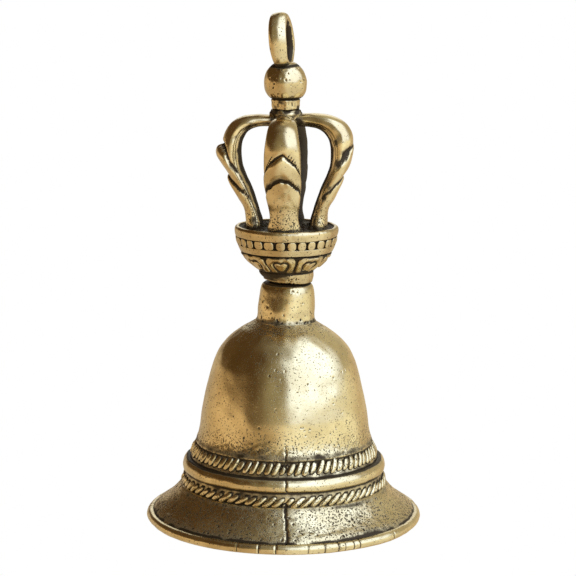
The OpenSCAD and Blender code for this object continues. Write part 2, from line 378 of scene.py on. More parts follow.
def brass(slot):
    """Aged cast brass: worn and bright where it stands proud, dark where patina lies and where shade
    is painted.
    """
    if slot in _made:
        return _made[slot]
    look = LOOKS[slot]
    m = bpy.data.materials.new(slot)
    t = fresh_tree(m)
    where = node(t, "ShaderNodeTexCoord").outputs["Object"]
    mm = node(t, "ShaderNodeMapping", {"Vector": where, "Scale": (1 / MM,) * 3}).outputs[0]
    patina_and_shade_level = node(t, "ShaderNodeAttribute", attribute_name="patina_and_shade_level").outputs["Fac"]
    pitting = node(t, "ShaderNodeAttribute", attribute_name="pitting").outputs["Fac"]

    broad = noise(t, mm, 0.28, 3.0, 0.55)
    mottle = noise(t, mm, 1.5, 5.0, 0.65)
    grain = noise(t, mm, 8.0, 4.0, 0.7)
    bend = noise(t, mm, 3.0, output="Color")
    bent = node(t, "ShaderNodeVectorMath", {0: bend, 1: Vector((0.4, 0.4, 0.4)), 2: mm},
                operation="MULTIPLY_ADD").outputs[0]
    unevenness = minus(t, mottle, 0.5)

    crowd = plus(t, pitting, times(t, unevenness, 0.9))
    large_pits = pit_layer(t, bent, 1.3, times(t, crowd, 0.7), 0.35, 0.04)
    small_pits = pit_layer(t, bent, 3.4, crowd, 0.42, 0.07)
    pit = calc(t, "MAXIMUM", large_pits, small_pits, clamp=True)
    speck = plus(t, noise(t, mm, 5.5, 2.0, 0.6), times(t, crowd, 0.15))
    pit = calc(t, "MAXIMUM", pit, ramp(t, speck, 0.655, 0.735), clamp=True)
    ragged = plus(t, patina_and_shade_level, times(t, unevenness, 0.50))
    patina_and_shade = ramp(t, ragged, 0.24, 0.62)
    dark = calc(t, "MAXIMUM", patina_and_shade, times(t, pit, 0.92), clamp=True)

    tone = mix(t, ramp(t, broad, 0.35, 0.68), look["dull"], look["bright"])
    tone = mix(t, ramp(t, mottle, 0.30, 0.55, 0.30, 0.0), tone, look["dull"])
    tone = mix(t, ramp(t, patina_and_shade_level, 0.05, 0.45, 0.0, 0.55), tone, look["dull"])
    colour = mix(t, dark, tone, PATINA_AND_SHADE)
    rough = plus(t, look["rough"], times(t, grain, 0.10))
    rough = plus(t, rough, times(t, pitting, 0.04))
    rough = plus(t, rough, times(t, dark, 0.30), clamp=True)
    metal = minus(t, 1.0, times(t, dark, 0.55), clamp=True)

    relief = plus(t, times(t, grain, 0.12), times(t, mottle, 0.38))
    relief = minus(t, relief, times(t, pit, 0.2))
    hills = node(t, "ShaderNodeBump", {"Height": relief, "Strength": 0.6, "Distance": 0.00004})
    shader = node(t, "ShaderNodeBsdfPrincipled", {
        "Base Color": colour, "Roughness": rough, "Metallic": metal, "Specular IOR Level": 0.25,
        "Normal": hills.outputs[0]})
    node(t, "ShaderNodeOutputMaterial", {"Surface": shader.outputs[0]})
    _made[slot] = m
    return m


# ---- the bell's body

SEAM = FRONT + radians(1.3)


def patina_and_shade_from(p, patina_and_shade, closed=False, fine_scale=0.020, broad_scale=0.11):
    """Patina value from how hollow the surface is, plus anything given, which in places is painted
    shade.
    """
    fine, broad = hollows(p, closed)
    value = step(fine / fine_scale, 0.15, 1.4) * 0.8 + step(broad / broad_scale, 0.1, 1.2) * 0.6
    return value + patina_and_shade


def cast(part, p, slot, dark, closed=False, pits=0.35):
    """Piece of the rigid casting, named after the CAD part that it stands for."""
    return grid_mesh(f"{part}_cast", p, "bell", slot, [part], dark, closed, pits)


def seam(theta, s, width, seed):
    """The mould's parting line, front and back: 1 on the line, 0 away from it."""
    rng = np.random.default_rng(seed)
    drift = sum(rng.uniform(-1, 1) * np.sin(k * s * 1.7 + rng.uniform(0, 6)) / k ** 0.7
                for k in range(1, 9))
    off_front = wrap(theta - SEAM - 0.008 * drift)
    off_back = wrap(theta - SEAM - pi - 0.009 * drift)
    return np.maximum(bump(off_front, width), 0.6 * bump(off_back, width))


# The wall's inside, as heights and radii, to tell the inside from the outside
WALL_INSIDE = np.array([
    (0, 13.4), (1.05, 12.6), (2.2, 11.2), (3.5, 10.3), (4.8, 9.9), (6.7, 9.3), (8.7, 8.4),
    (11, 7.9), (15.3, 7.1), (17.8, 6.2), (19.25, 5.0), (20.35, 3.6), (20.95, 1.5), (21.5, 0.0),
    (24, 0.0)]).T


def dome():
    """Bell wall from the top of its inside, down, round the mouth and up to the neck."""
    inside = spline([
        [0.01, 20.95], [2.2, 20.9], [3.6, 20.35], [5.0, 19.25], [6.2, 17.8], [7.1, 15.3],
        [7.9, 11.0], [8.4, 8.7], [9.3, 6.7], [9.9, 4.8], [10.3, 3.5], [11.2, 2.2],
        [12.6, RIM_TOP + 0.02]], 6)
    skirt = spline([
        [MOUTH_R - 0.62, RIM_TOP - 0.03], [13.94, 1.5], [13.2, 2.0], [12.57, 2.5],
        [12.08, 3.0], [11.66, 3.5], [11.32, 3.93]], 6)
    under_bands = [
        [11.0, 4.1], [10.85, 4.4], [10.85, 5.0], [10.78, 5.3], [10.76, 5.55], [10.5, 5.9],
        [10.35, 6.5], [10.2, 6.95], [10.05, 7.3], [9.8, 7.7], [9.6, 8.2], [9.60, 8.62]]
    shoulder = spline([
        [9.66, 8.75], [9.40, 9.5], [9.22, 10.4], [9.03, 12], [8.86, 13], [8.43, 15],
        [7.90, 17], [7.53, 18], [7.00, 19], [6.14, 20], [4.90, 21], [4.10, 21.5],
        [3.55, 21.85], [3.20, 22.1]], 6)
    outside = np.concatenate([skirt, under_bands, shoulder])
    top = even([[3.2, 22.1], [0.01, 22.12]], 0.6)[1:]
    profile = np.concatenate([even(inside, 0.35), even(outside, 0.09), top])
    rng = np.random.default_rng(11)
    marks = []
    for _ in range(420):
        up = rng.uniform(0, 1) ** 1.6
        height = 1.4 + 5 * up if up < 0.5 else 8.9 + 22 * (up - 0.5)
        marks.append((rng.uniform(-pi, pi), height, rng.uniform(0.07, 0.17)))

    def lift(theta, s, r, z):
        outer = step(r - np.interp(z, *WALL_INSIDE), 0.3, 0.9)
        d = 0.028 * waves(theta, s, 3, length=9) + 0.010 * waves(theta, s, 4, 40, 26, 2.2)
        d -= 0.20 * seam(theta, z, 0.007, 5) * step(z, 4.4, 4.0)
        d -= 0.12 * seam(theta, z, 0.006, 6) * step(z, 10.8, 9.2) * step(z, 8.5, 8.7)
        low_band, high_band = bump(z - 2.6, 1.6), bump(z - 9.4, 1.2)
        d += (0.012 * low_band + 0.010 * high_band) * waves(theta, s, 8, 60, 90, 0.5)
        return (d - pocks(theta, r, z, marks)) * outer

    p = revolve(profile, 640, lift)
    theta, r, z = polar(p)
    patina_and_shade = 0.35 * bump(z - 3.85, 0.30) + 0.42 * bump(z - 8.95, 0.42)
    patina_and_shade += (0.52 + 0.5 * waves(theta, z, 23, 60, 60, 3)) * bump(z - 1.08, 0.14)
    # Painted shade on the skirt's left side (last term of the next line), and on its right a painted
    # highlight just past the front seam with painted shade further right (around).
    patina_and_shade += 0.22 * bump(z - 1.10, 0.5) + 0.10 * step(np.cos(theta), 0, -0.8) * step(z, 4, 3)
    around = 0.24 * bump(np.cos(theta) - 0.64, 0.15) - 0.10 * bump(np.cos(theta) - 0.28, 0.16)
    patina_and_shade += around * step(z, 4.1, 3.7)
    patina_and_shade += 0.12 * step(z, 4.0, 1.0) + 0.10 * bump(z - 10, 1.4)
    patina_and_shade += 0.30 * bump(z - 22.0, 0.45) + 0.42 * step(z, 4.0, 4.2) * step(z, 8.75, 8.5)
    within = step(r - np.interp(z, *WALL_INSIDE), 0.9, 0.3)
    patina_and_shade += 0.5 * seam(theta, z, 0.012, 5) * step(z, 4.4, 4.0)
    patina_and_shade += 0.35 * bump(z - 5.52, 0.10) + 0.35 * bump(z - 6.98, 0.07)
    patina_and_shade = patina_and_shade * (1 - within) + 0.59 * within + 0.06 * waves(theta, z, 21, 50, 30, 1.6)
    pits = 0.82 * step(z, 4.3, 3.8) + (0.30 + 0.65 * bump(z - 8.6, 2.4)) * step(z, 3.8, 4.3)
    pits += 0.5 * bump(z - 21.7, 0.8) + 0.10 * waves(theta, z, 22, 40, 6, 5)
    return cast("bell_dome", p, "cast_brass", patina_and_shade_from(p, patina_and_shade), pits=pits)


def rim_bead():
    """Rounded bead at the mouth, with small nicks cut across it."""
    edge = RIM_TOP / 2
    outside = [[MOUTH_R - edge + edge * cos(a), edge + edge * sin(a)]
               for a in np.linspace(-pi / 2, pi / 2, 22)]
    seat = [[MOUTH_R - 2.2, RIM_TOP], [MOUTH_R - 1.95, 0.5], [MOUTH_R - 1.7, 0.0]]
    profile = np.array(seat + outside)
    rng = np.random.default_rng(5)
    nicks = [FRONT + radians(a) for a in (-19, -10, -3, 10, 17, 23, 26, 30, 33, 52)]
    nicks += list(rng.uniform(0, pi, 26))

    def lift(theta, s, r, z):
        d = 0.020 * waves(theta, s, 31, 24, 14, 5) + 0.008 * waves(theta, s, 32, 40, 60, 1)
        outer = step(r, MOUTH_R - 0.8, MOUTH_R - 0.4)
        for k, a in enumerate(nicks):
            d -= (0.05 + 0.05 * (k % 3)) * outer * bump(wrap(theta - a) * r, 0.06)
        return d * step(z, 0.0, 0.12)

    p, theta, r, z = spin(profile, 0.09, 720, lift)
    patina_and_shade = 0.75 * step(r, MOUTH_R - 0.45, MOUTH_R - 0.62) * step(z, 0.5, 0.9)
    patina_and_shade += 0.3 * step(z, 0.15, 0) + 0.4 * step(r, MOUTH_R - 1.5, MOUTH_R - 1.9)
    return cast("rim_bead", p, "cast_brass", patina_and_shade_from(p, patina_and_shade, True), closed=True)


def rope_band(name, cad, seat_r, low_r, top_r, z0, z1, slant, strands, seed):
    """Twisted rope moulding: slanting strands with dark gaps between them."""
    h = z1 - z0
    bulge = [[low_r - 0.42 + (top_r - low_r) * (0.5 + 0.5 * sin(a)) + 0.42 * cos(a),
              (z0 + z1) / 2 + 0.5 * h * sin(a)] for a in np.linspace(-1.571, 1.571, 26)]
    profile = np.array([[seat_r, z1 - 0.02], [seat_r, z0 + 0.02]] + bulge)
    rng = np.random.default_rng(seed)
    strand_size = rng.uniform(0.70, 1.1, strands)
    strand_turn = rng.uniform(-0.16, 0.16, strands)
    strand_low = rng.uniform(-0.10, 0.06, strands)

    def lift(theta, s, r, z):
        v = (z - z0) / h
        outer = step(r, seat_r + 0.1, seat_r + 0.35)
        lean = slant * (v - 0.5) * h / r
        turn = ((theta - lean) / (2 * pi) * strands) % strands
        which = np.floor(turn).astype(int) % strands
        across = 2 * (turn - np.floor(turn) - 0.5) + strand_turn[which] * (2 * v - 0.6)
        width = 0.90 - 0.30 * np.abs(np.minimum(2 * v - 1 + strand_low[which], 0.75)) ** 4
        body = np.clip(1 - np.abs(across / width) ** 3, 0, 1) ** 0.45
        d = (body * strand_size[which] - 1) * 0.34
        d -= 0.16 * seam(theta, z, 0.012, 5)
        return outer * (d + 0.03 * waves(theta, s, seed, 30, 40, 1.5))

    p, theta, r, z = spin(profile, 0.07, strands * 14, lift)
    depth = np.interp(z, [z0, z1], [low_r, top_r]) - r
    patina_and_shade = 0.85 * step(depth, 0.10, 0.28) + 0.30 * bump(z - z1, 0.25)
    patina_and_shade += 0.12 * waves(theta, z, seed + 1, 40, 60, 0.8)
    return grid_mesh(name, p, "bell", "rope_brass", [cad], patina_and_shade, closed=True, pits=0.6)


def waist_ring():
    """Plain raised ring between the ropes, worn bright along its crest."""
    profile = np.concatenate([
        [[10.1, 6.98], [10.1, 5.6], [10.6, 5.55]],
        spline([[10.87, 5.60], [11.03, 5.78], [11.08, 6.1], [11.02, 6.42], [10.88, 6.68],
                [10.62, 6.90], [10.4, 6.98]], 5)])

    def lift(theta, s, r, z):
        d = 0.035 * waves(theta, s, 41, 24, 16, 9) + 0.010 * waves(theta, s, 42, 40, 50, 1.2)
        return step(r, 10.3, 10.7) * (d - 0.10 * seam(theta, z, 0.007, 5))

    p, theta, r, z = spin(profile, 0.08, 640, lift)
    patina_and_shade = 0.75 * step(z, 6.72, 6.94) + 0.75 * step(z, 5.74, 5.58)
    patina_and_shade += 0.35 * seam(theta, z, 0.009, 5)
    return cast("waist_ring", p, "cast_brass", patina_and_shade_from(p, patina_and_shade, True), closed=True)


def neck():
    """Plain neck with a rounded top edge, pitted near its root."""
    outside = spline([
        [3.32, NECK_LOW + 0.02], [3.16, 22.3], [3.08, 22.8], [3.08, 23.5], [3.05, 24.2],
        [3.01, 24.9], [2.95, 25.5], [2.84, 25.9], [2.62, 26.15], [2.3, NECK_TOP - 0.02]], 5)
    profile = np.concatenate([[[0.01, NECK_LOW - 0.05]], outside, [[0.01, NECK_TOP - 0.02]]])
    rng = np.random.default_rng(17)
    marks = [(rng.uniform(-pi, pi), 22.2 + 2.2 * rng.uniform(0, 1) ** 2,
              rng.uniform(0.08, 0.22)) for _ in range(70)]
    marks += [(FRONT + rng.uniform(0.15, 0.5), rng.uniform(25.5, 26.2), rng.uniform(0.08, 0.2))
              for _ in range(14)]

    def lift(theta, s, r, z):
        d = 0.05 * waves(theta, s, 51, 24, 5, 5) + 0.005 * waves(theta, s, 52, 50, 30, 0.9)
        d -= 0.46 * bump(wrap(theta - FRONT + 0.80), 0.85) * step(z, 22.9, 26.0)
        return (d - pocks(theta, r, z, marks)) * step(r, 2.0, 2.6)

    p, theta, r, z = spin(profile, 0.08, 320, lift)
    patina_and_shade = 0.45 * step(z, 22.9, 22.2) + 0.8 * step(z, 25.95, 26.2)
    # Painted dark reflection on the neck's upper left side.
    patina_and_shade += 0.16 * step(np.cos(theta), 0.20, -0.40) * step(z, 23.1, 24.3)
    patina_and_shade += 0.10 * waves(theta, z, 53, 40, 12, 1.2)
    return cast("neck_socket", p, "cast_brass", patina_and_shade_from(p, patina_and_shade))


# ---- lotus cup

PETALS = 8
PETAL_TURN = FRONT - radians(8)
BEADS = 28
BEAD_LOW = 30.48
BEAD_TOP = 31.36
CUP_LINE = spline([
    [2.95, 27.62], [3.48, 28.0], [4.11, 28.5], [4.57, 29.0], [4.84, 29.5], [4.97, 29.75],
    [5.12, 30.1], [5.28, 30.5], [5.41, 31.0], [5.52, 31.5]], 6)


def cup_r(z):
    return np.interp(z, CUP_LINE[:, 1], CUP_LINE[:, 0])


def lotus_foot():
    """Small moulding that carries the cup, above the dark joint with the neck."""
    outside = spline([
        [2.25, 26.33], [2.50, 26.42], [2.68, 26.62], [2.84, 26.95], [2.92, 27.3],
        [2.93, 27.55], [2.80, 27.70]], 5)
    profile = np.concatenate([[[0.01, 26.31]], outside, [[0.01, 27.72]]])

    rng = np.random.default_rng(63)
    flaws = [(FRONT + rng.uniform(0.02, 0.5), rng.uniform(26.45, 27.45), rng.uniform(0.10, 0.22))
             for _ in range(22)]

    def lift(theta, s, r, z):
        d = (0.26 * np.cos(theta - 0.1) - 0.06) * step(z, 27.5, 26.6)
        d += 0.03 * waves(theta, s, 61, 24, 9, 3) + 0.06 * bump(z - 26.52, 0.10)
        d += 0.014 * waves(theta, s, 62, 50, 40, 0.8) - pocks(theta, r, z, flaws)
        return d * step(r, 1.8, 2.3)

    p, theta, r, z = spin(profile, 0.07, 288, lift)
    patina_and_shade = 0.9 * step(z, 27.35, 27.6) + 0.9 * step(z, 26.46, 26.34)
    # Painted shadow of the cup: on the foot's left side and on its top under the petals.
    left = step(np.cos(theta), 0.45, -0.15)
    patina_and_shade += 0.55 * left * bump(z - 27.1, 0.62) + 0.22 * step(z, 27.1, 27.5)
    patina_and_shade += 0.12 * waves(theta, z, 63, 40, 10, 1.0)
    return cast("lotus_foot", p, "handle_brass", patina_and_shade_from(p, patina_and_shade))


def petal_lines(x, y, half):
    """Depth of the cut lines of one petal, at x across it and y below its top edge."""
    corner = 0.62
    qx = np.abs(x) - (half - 0.07) + corner
    qy = 0.10 - y + corner
    outline = np.hypot(np.maximum(qx, 0), np.maximum(qy, 0)) - corner
    outline += np.minimum(np.maximum(qx, qy), 0)
    groove = step(outline, -0.15, 0.0)
    shield = [(-0.42, 2.35), (-0.62, 1.90), (-0.80, 1.40), (-0.86, 1.05), (-0.68, 0.76),
              (-0.32, 0.70), (0, 0.86), (0.32, 0.70), (0.68, 0.76), (0.86, 1.05), (0.80, 1.40),
              (0.60, 1.90), (0.40, 2.35), (0.0, 2.46), (-0.42, 2.35)]
    return np.maximum(groove, bump(near_polyline(x, y, shield), 0.17))


def lotus_petals():
    """Ring of petals: rounded outlines with a shield cut inside each."""
    z0, z1 = 27.60, 29.66
    outside = np.array([[r, z] for r, z in CUP_LINE if z < z1] + [[float(cup_r(z1)), z1]])
    profile = np.concatenate([even(outside, 0.055), [[4.3, z1], [2.6, z0]]])
    down = run_of(outside)
    length = down[-1]

    def place(theta, z):
        along = np.interp(z, outside[:, 1], length - down)
        turn = (theta - PETAL_TURN) / (2 * pi) * PETALS
        x = (turn - np.round(turn)) * 2 * pi / PETALS * cup_r(z)
        return x, along, pi / PETALS * cup_r(z)

    def lift(theta, s, r, z):
        x, y, half = place(theta, z)
        cut = petal_lines(x, y, half)
        swell = 0.10 * (1 - (np.abs(x) / half) ** 2) + 0.03 * waves(theta, s, 71, 30, 40, 1.5)
        outer = step(r - np.interp(z, [z0, z1], [2.6, 4.3]), 0.1, 0.25)
        return outer * (swell - 0.05 - 0.20 * cut) * step(z, z0 - 0.02, z0 + 0.3)

    p = revolve(profile, 1200, lift)
    theta, r, z = polar(p)
    x, y, half = place(theta, z)
    patina_and_shade = 1.0 * petal_lines(x, y, half) ** 1.5 + 0.8 * step(z, 28.0, 27.65)
    patina_and_shade += 0.10 * waves(theta, z, 73, 40, 30, 1.0)
    return cast("lotus_petals", p, "handle_brass", patina_and_shade, closed=True)


def lotus_cup():
    """The cup's plain band and its dark flat top, on which the prongs stand."""
    band = [[float(cup_r(z)) + 0.02 * bump(z - 30.1, 0.3), z] for z in np.linspace(29.72, 30.48, 14)]
    profile = np.concatenate([
        [[0.01, 27.75], [2.5, 27.8], [4.2, 29.5], [4.70, 29.66], [4.83, 29.70]], band,
        [[5.12, 30.52], [5.05, 30.6], [4.9, 31.4], [4.8, CUP_FLOOR - 0.1], [4.7, CUP_FLOOR],
         [0.01, CUP_FLOOR]]])

    def heap(theta, r):
        return sum(bump(np.sqrt(r ** 2 + 3.4 ** 2 - 6.8 * r * np.cos(theta - CROWN_TURN - k)), 1.7)
                   for k in np.arange(4) * pi / 2)

    def lift(theta, s, r, z):
        d = 0.02 * waves(theta, s, 81, 24, 20, 6)
        top = step(z, CUP_FLOOR - 0.15, CUP_FLOOR - 0.02) * step(r, 0.3, 1.0) * step(r, 4.65, 4.3)
        crumbs = (0.045 + 0.10 * heap(theta, r)) * waves(theta, 3 * r, 82, 60, 24, 1.5)
        return d * step(r, 4.6, 4.9) + top * (0.50 * heap(theta, r) + crumbs)

    p, theta, r, z = spin(profile, 0.08, 480, lift)
    patina_and_shade = 1.0 * step(z, 29.86, 29.72) + 0.4 * bump(z - 30.5, 0.06)
    patina_and_shade += 0.80 * step(z, CUP_FLOOR - 0.3, CUP_FLOOR - 0.1) + 1.0 * step(z, 30.47, 30.6)
    glints = heap(theta, r) * np.clip(waves(theta, 3 * r, 83, 60, 30, 1.0), 0, 1)
    patina_and_shade = np.minimum(patina_and_shade, 1) - 0.5 * glints * step(z, CUP_FLOOR - 0.3, CUP_FLOOR)
    return cast("lotus_cup", p, "handle_brass", patina_and_shade)


def bead_row():
    """Row of rounded square beads between two bands."""
    z0, z1 = BEAD_LOW, BEAD_TOP
    outside = [[float(cup_r(z)), z] for z in np.linspace(z0, z1, 22)]
    profile = np.concatenate([[[4.9, z1], [4.9, z0]], outside])

    def shape(theta, z):
        turn = (theta - FRONT) / (2 * pi) * BEADS + 0.58 + 0.08 * np.sin(5 * theta)
        x = (turn - np.round(turn)) * 2 * pi / BEADS * cup_r(z)
        y = z - (z0 + z1) / 2
        width = 0.49 + 0.025 * np.sin(9 * theta + 1)
        return (np.abs(x / width) ** 2.5 + np.abs(y / 0.50) ** 2.5) ** (1 / 2.5)

    def lift(theta, s, r, z):
        outer = step(r, 4.95, 5.1)
        edge = shape(theta, z)
        return outer * (0.07 * np.clip(1 - edge ** 2, 0, 1) - 0.30 * step(edge, 0.93, 1.12))

    p, theta, r, z = spin(profile, 0.05, BEADS * 40, lift)
    patina_and_shade = 1.0 * step(shape(theta, z), 0.92, 1.04)
    return cast("bead_row", p, "handle_brass", patina_and_shade, closed=True)


def cup_rim():
    """Plain rounded rim of the cup, worn bright, with a dark inner edge."""
    outside = spline([
        [5.42, BEAD_TOP], [5.50, 31.45], [5.57, 31.70], [5.60, 31.98], [5.58, 32.20],
        [5.48, 32.36], [5.34, 32.44], [5.18, 32.42], [5.06, 32.30]], 5)
    profile = np.concatenate([[[4.75, 31.5], [5.0, BEAD_TOP]], outside, [[4.75, CUP_FLOOR - 0.03]]])

    def lift(theta, s, r, z):
        d = 0.030 * waves(theta, s, 91, 24, 12, 5) + 0.008 * waves(theta, s, 92, 40, 60, 1)
        return d * step(r, 5.0, 5.2)

    p, theta, r, z = spin(profile, 0.06, 480, lift)
    patina_and_shade = 0.9 * step(r, 5.22, 5.06) * step(z, 32.0, 32.2) + 0.7 * step(z, 31.47, 31.38)
    return cast("cup_rim", p, "handle_brass", patina_and_shade_from(p, patina_and_shade, True), closed=True)


# ---- crown

# Outer and inner edge of a prong in its own plane, from foot to tip, and its half width
PRONG_OUT = [
    (4.38, 32.1), (4.40, 33.2), (4.60, 34.4), (5.25, 35.5), (5.78, 36.7), (6.25, 37.9),
    (6.78, 39.1), (7.05, 40.3), (7.10, 41.4), (6.82, 42.6), (6.05, 43.65), (4.75, 44.30),
    (3.20, 44.50), (1.70, 44.48), (0.60, 44.46)]
PRONG_IN = [
    (2.45, 32.1), (2.60, 33.2), (2.93, 34.3), (3.25, 35.3), (3.65, 36.5), (4.20, 37.7),
    (4.65, 38.9), (4.80, 40.2), (4.72, 41.2), (4.45, 42.0), (3.95, 42.6), (3.30, 42.95),
    (2.50, 43.10), (1.60, 43.12), (0.60, 43.12)]
PRONG_HALF = [
    1.52, 1.50, 1.55, 1.66, 1.78, 1.88, 1.94, 1.94, 1.88, 1.74, 1.60, 1.45, 1.22, 1.05, 0.95]
# How a prong's scales lie: height of their lips, how fast these rise, where they level out and
# end, depth and width of the grooves above the scales and width of the lower groove, swelling of
# the shoulder, slope, bluntness and top of the upper scale, and how dark its groove is, as patina
# with painted shadow of the scale edge
SCALE = dict(lip=0.36, rise=1.0, level=1.7, end=3.6, gap=0.25, wide=0.20, narrow=0.25,
             shoulder=0.0, steep=1.9, blunt=0.0, top=40.8, shade=0.95)
SCALES = {"front": dict(SCALE, lip=0.38, rise=1.2, gap=0.18, wide=0.15, narrow=0.17, steep=1.75,
                        top=40.75),
          "left": dict(SCALE, lip=0.54, rise=1.3, level=0.7, end=2.8, gap=0.40, wide=0.26,
                       shoulder=-0.36, steep=4.0, blunt=1.1, top=41.15, shade=0.70),
          "right": dict(SCALE, lip=0.10, rise=0.6, gap=0.50, wide=0.60, shoulder=0.22, steep=1.6,
                        top=41.75),
          "back": SCALE}
LOWER_SCALE_TOP = 38.0
PRONG_ANGLE = {"front": -90, "left": 180, "right": 0, "back": 90}


def prong_chevrons(side, t, first, second, steep, blunt):
    """Distance below each of the two slanting scale edges, along the prong."""
    a = np.sqrt(side * side + 0.03) - 0.12
    ragged = 0.05 * np.sin(9 * side + 1) + 0.035 * np.sin(17 * side)
    fall = steep * np.maximum(a - blunt, 0) + 0.5 * np.minimum(a, blunt) ** 2
    c1 = t - first - fall - 0.55 * np.maximum(a - 1.3, 0) + ragged
    c2 = t - second - 1.30 * a - 0.7 * np.maximum(a - 1.3, 0) - ragged
    return c1, c2


def scale_lip(c, rise, level, end):
    """Raised lip of a scale: a quarter round at its edge, level, then fading out."""
    up = np.sqrt(np.clip(1 - (1 - np.clip(c / rise, 0, 1)) ** 2, 0, 1))
    return up * step(c, end, level)


def prong_section(phi):
    """Cross section of a prong of unit size: round outside, flatter and narrower inside."""
    c, s = np.cos(phi), np.sin(phi)
    n = np.where(c > 0, np.abs(c) ** 0.9, -np.abs(c) ** 0.55)
    w = np.sign(s) * np.abs(s) ** 0.95 * np.where(c > 0, 1.0, 1 - 0.42 * np.abs(c) ** 1.2)
    return np.stack([n, w])


def prong_angles(count):
    """Angles that space the points of a prong's cross section evenly."""
    fine = np.linspace(0, 2 * pi, 1441)
    length = run_of(prong_section(fine).T)
    return np.interp(np.arange(count) / count * length[-1], length, fine)[None]


def prong_line():
    """Outer edge, inner edge and half width of a prong, at even steps from foot to tip."""
    rows = 8
    half = spline([[w] for w in PRONG_HALF], rows)
    line = np.concatenate([spline(PRONG_OUT, rows), spline(PRONG_IN, rows), half], axis=1)
    line = even(line, 0.10)
    return line[:, :2], line[:, 2:4], line[:, 4:]


def prong_grid(which, centre, reach, half, phi, d):
    """Points of a prong whose surface is raised by d, turned to its side of the crown."""
    c = np.cos(phi)
    n, w = prong_section(phi)
    along = centre[:, None, :] + reach[:, None, :] * n[..., None]
    way = unit(reach)[:, None]
    radial = along[..., 0] + way[..., 0] * d * np.abs(c) ** 0.5
    up = along[..., 1] + way[..., 1] * d * np.abs(c) ** 0.5
    spread = 0.25 * step(centre[:, 1:], 34.6, 32.6) ** 3
    across = half * w * (1 + 0.2 * d) + spread * w
    angle = radians(PRONG_ANGLE[which]) + CROWN_TURN
    return np.stack([radial * cos(angle) - across * sin(angle),
                     radial * sin(angle) + across * cos(angle), up], axis=2)


def prong(which):
    """One curved prong: three overlapping scales outside, a flatter face inside with painted shade.
    """
    out, inn, half = prong_line()
    centre, reach = (out + inn) / 2, (out - inn) / 2
    run = run_of(centre)
    t = (run[-1] - run)[:, None]
    phi = prong_angles(80)
    side = wrap(phi) + 0 * t
    turned = np.abs(side)
    look = SCALES[which]

    # Relief: the scales' lips, the grooves above them, hatch marks and rough flanks
    lip, gap, wide, narrow = look["lip"], look["gap"], look["wide"], look["narrow"]
    to_bulge = len(out) // 2 + 20
    first, second = (run[-1] - np.interp(z, out[:to_bulge, 1], run[:to_bulge])
                     for z in (look["top"], LOWER_SCALE_TOP))
    c1, c2 = prong_chevrons(side, t, first, second, look["steep"], look["blunt"])
    outer = step(turned, 2.05, 1.25)
    d = lip * scale_lip(c1, look["rise"], look["level"], look["end"])
    d += 0.6 * min(lip, 0.38) * scale_lip(c2, 0.6, 0.8, 2.4)
    if which == "front":
        d -= 0.36 * side * bump(side, 0.8) * bump(c1 - 0.9, 0.8)
    if which == "right":
        wide = wide * (0.25 + bump(turned - 1.2, 0.55))
        gap = gap * step(turned, 0.1, 0.6)
    groove1 = bump(c1 + 0.8 * wide, wide)
    groove2 = bump(c2 + 0.15, narrow) + 0.35 * bump(c2 + 0.5, 0.5) * step(c2, 0, -0.1)
    d -= gap * groove1 + 0.20 * groove2
    d += look["shoulder"] * bump(centre[:, 1] - 42.4, 1.5)[:, None]
    hatch = bump(c1 + 0.32, 0.46) * step(turned, 0.25, 0.45) * step(turned, 1.5, 1.2)
    hatch = np.maximum(hatch, 0.8 * bump(c2 + 0.12, 0.34) * step(turned, 0.3, 0.5))
    hatch_line = step(np.sin((t * 0.9 + side * 2.2) * 13), 0.1, 0.7)
    d -= 0.10 * hatch * hatch_line
    foot = step(centre[:, 1], 34.6, 32.6)[:, None]
    seed = sum(map(ord, which))
    rough = waves(phi, t, seed, 60, 9, 1.3)
    flank = bump(turned - 1.75, 0.38) * (which != "front")
    d = d * outer + 0.022 * waves(phi, t, seed + 1, 24, 4, 5)
    d += (0.012 + 0.008 * foot + 0.030 * flank) * rough
    p = prong_grid(which, centre, reach, half, phi, d)

    # Patina in the grooves, at the foot and towards the tip, with painted shade on the inner face
    # and painted shadow in and above the grooves
    inner = step(turned, 1.95, 2.45)
    # The groove's dark is patina with painted shadow of the scale edge; at the front scale's tip it
    # is lighter, a painted highlight.
    apex = 0.45 + 0.55 * step(turned, 0.10, 0.35) if which == "front" else 1.0
    groove1 = look["shade"] * groove1 * apex
    patina_and_shade = outer * np.maximum(groove1, 0.85 * bump(c2 + 0.15, narrow + 0.04))
    # Painted shade on the inner face.
    patina_and_shade += 0.80 * inner
    # Painted shadow above the lower scale's edge.
    patina_and_shade += 0.30 * outer * bump(c2 + 0.55, 0.45) * step(c2, 0, -0.1)
    patina_and_shade += 1.0 * hatch * hatch_line * outer + 0.20 * foot
    patina_and_shade += 0.45 * step(t, 1.7, 0.8) + 0.10 * waves(phi, t, seed + 3, 60, 9, 0.9)
    patina_and_shade += 0.42 * flank * np.clip(waves(phi, t, seed + 4, 60, 16, 1.1) + 0.4, 0, 1)
    # Painted shade on the back prong, which stands behind the others.
    if which == "back":
        patina_and_shade += 0.8 * step(turned, 0.9, 1.3)
    pits = 0.15 + 0.72 * step(centre[:, 1], 36.6, 33.2)[:, None] + 0.3 * inner
    return cast(f"prong_{which}", p, "crown_brass",
                patina_and_shade_from(p, patina_and_shade, False, 0.03, 0.12), pits=pits)


